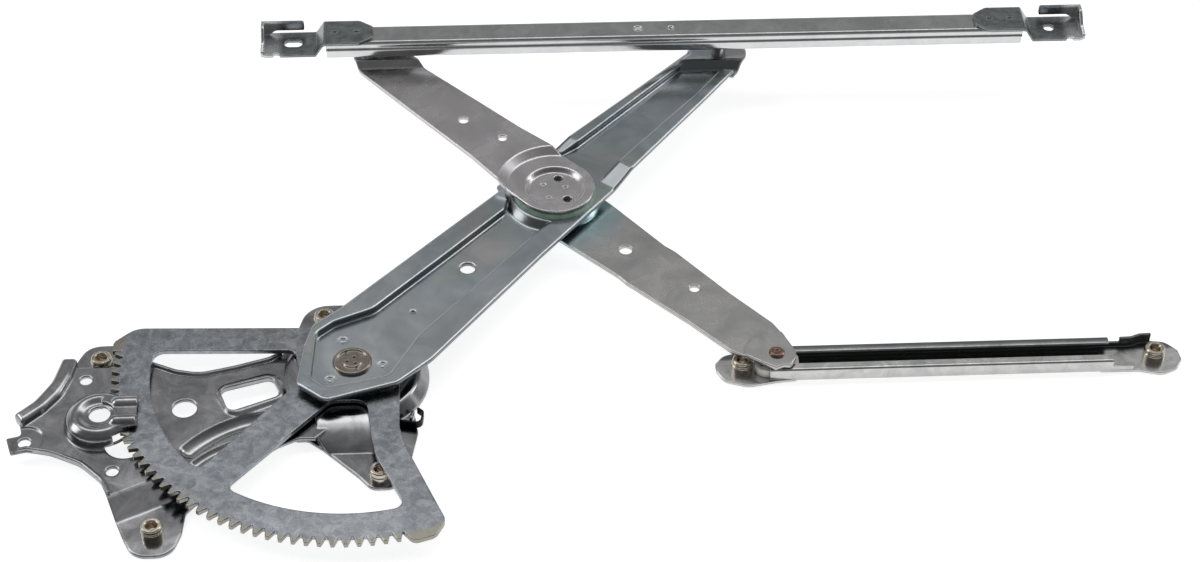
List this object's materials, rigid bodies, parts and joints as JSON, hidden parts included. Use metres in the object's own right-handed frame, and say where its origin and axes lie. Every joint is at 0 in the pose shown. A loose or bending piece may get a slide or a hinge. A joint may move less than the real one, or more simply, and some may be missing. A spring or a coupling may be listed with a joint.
{
  "type": "window regulator",
  "caption": "Scissor-type car door window regulator: toothed sector and lift arm on a stamped base plate, crossing balancer arm, glass lift rail with end brackets, and lower guide rail.",
  "frame": {"origin": "middle of the whole outline, on the plane of the door's inner panel that the base plate's ears and the guide rail sit on", "axes": "+X along the lift rail and the guide rail, +Y the way the glass rises, +Z away from the door's inner panel, along every pivot"},
  "size_m": [0.6002, 0.3806, 0.044],
  "materials": {
    "zinc": "zinc plated, slightly mottled",
    "dark_steel": "dark zinc plated",
    "bright_steel": "bright zinc plated",
    "rivet_brown": "copper-brown plated",
    "spring_black": "black oxide",
    "nylon_white": "satin",
    "nylon_green": "satin, greased"
  },
  "bodies": {
    "base": {"base_plate": "bright_steel", "base_nut_ul": "zinc", "base_nut_ll": "zinc", "base_nut_ur": "zinc", "base_nut_lr": "zinc", "pivot_bush": "nylon_white", "counterbalance_spring": "spring_black"},
    "lift": {"sector_gear": "dark_steel", "lift_arm": "zinc", "main_pivot_pin": "zinc", "hub_wear_ring": "nylon_green", "lift_roller_pin": "bright_steel"},
    "balancer": {"upper_balancer_arm": "zinc", "lower_balancer_arm": "zinc", "hub_spacer": "bright_steel", "hub_washer": "nylon_green", "upper_roller_pin": "bright_steel", "shoe_pin": "rivet_brown"},
    "rail": {"lift_rail": "dark_steel", "left_glass_bracket": "dark_steel", "right_glass_bracket": "dark_steel"},
    "tip_roller": {"lift_roller": "nylon_white"},
    "rail_roller": {"upper_roller": "nylon_white"},
    "shoe": {"guide_shoe": "nylon_white"},
    "guide": {"guide_rail": "bright_steel", "guide_nut_left": "zinc", "guide_nut_right": "zinc"}
  },
  "joints": [
    {"name": "lift_hinge", "type": "hinge", "parent": "base", "child": "lift", "pos_m": [-0.12945, -0.06492, 0.01], "axis": [0, 0, 1], "range_deg": [-80, 0], "deforming": ["counterbalance_spring"]},
    {"name": "scissor_hinge", "type": "hinge", "parent": "lift", "child": "balancer", "pos_m": [-0.02065, 0.06112, 0.0155], "axis": [0, 0, 1], "range_deg": [0, 160]},
    {"name": "rail_hinge", "type": "hinge", "parent": "balancer", "child": "rail", "pos_m": [-0.12095, 0.17732, 0.035], "axis": [0, 0, 1], "range_deg": [-80, 0]},
    {"name": "shoe_hinge", "type": "hinge", "parent": "balancer", "child": "shoe", "pos_m": [0.08815, -0.06492, 0.004], "axis": [0, 0, 1], "range_deg": [-80, 0]},
    {"name": "lift_roller_spin", "type": "hinge", "parent": "lift", "child": "tip_roller", "pos_m": [0.07965, 0.17732, 0.0357], "axis": [0, 0, 1], "continuous": true},
    {"name": "upper_roller_spin", "type": "hinge", "parent": "balancer", "child": "rail_roller", "pos_m": [-0.12095, 0.17732, 0.0357], "axis": [0, 0, 1], "continuous": true},
    {"name": "guide_slide", "type": "slide", "parent": "base", "child": "guide", "axis": [1, 0, 0], "range_m": [-0.064, 0]}
  ],
  "couplings": [
    {"joint": "scissor_hinge", "follows": "lift_hinge", "ratio": -2},
    {"joint": "rail_hinge", "follows": "lift_hinge", "ratio": 1},
    {"joint": "shoe_hinge", "follows": "lift_hinge", "ratio": 1}
  ]
}
